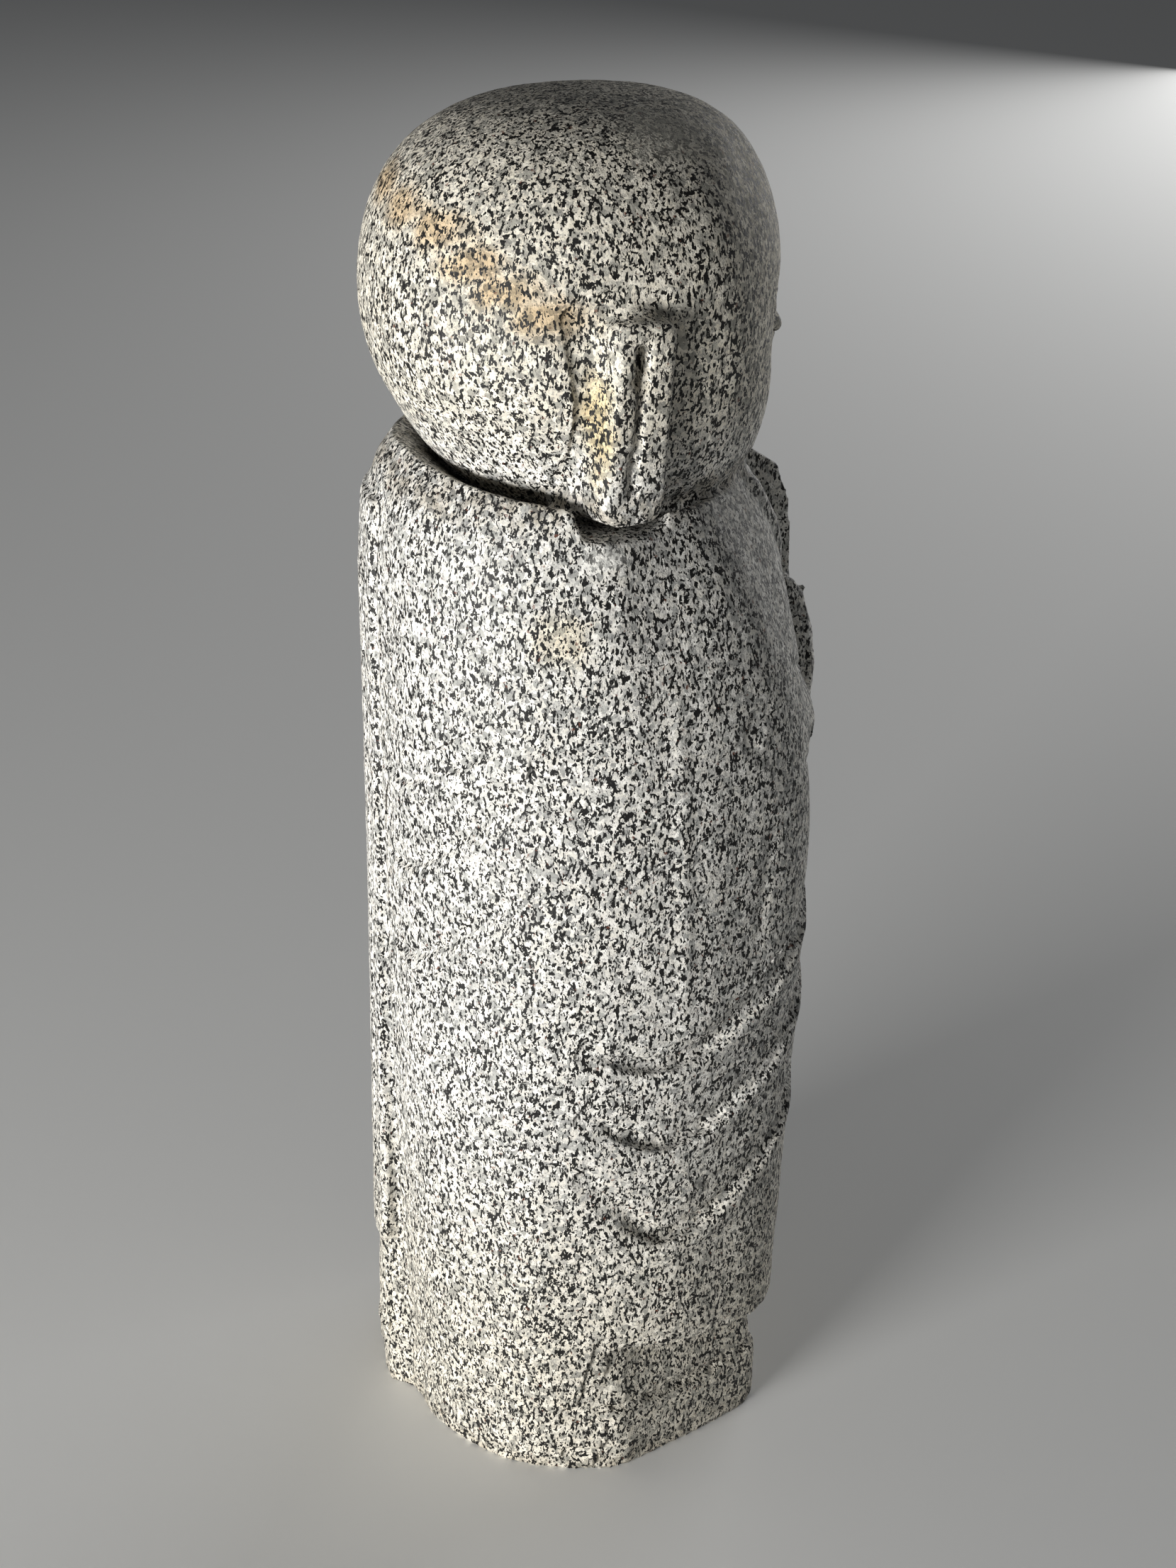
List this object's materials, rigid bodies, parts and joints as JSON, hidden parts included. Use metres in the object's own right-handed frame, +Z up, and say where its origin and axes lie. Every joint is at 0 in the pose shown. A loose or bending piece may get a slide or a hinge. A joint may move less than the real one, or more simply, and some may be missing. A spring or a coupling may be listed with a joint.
{
  "type": "stone jizo statue",
  "caption": "Small standing monk figure in light grey granite with long ears, pressed palms and a draped robe, carved in one with its low plinth; rests on its flat underside.",
  "frame": {"origin": "on the underside, below the middle of the head, midway between the two sides", "axes": "+Z up; the figure looks along -Y; its right hand side is -X"},
  "size_m": [0.135, 0.1545, 0.45],
  "materials": {
    "granite": null
  },
  "bodies": {
    "root": {"jizo_statue": "granite"}
  },
  "joints": []
}
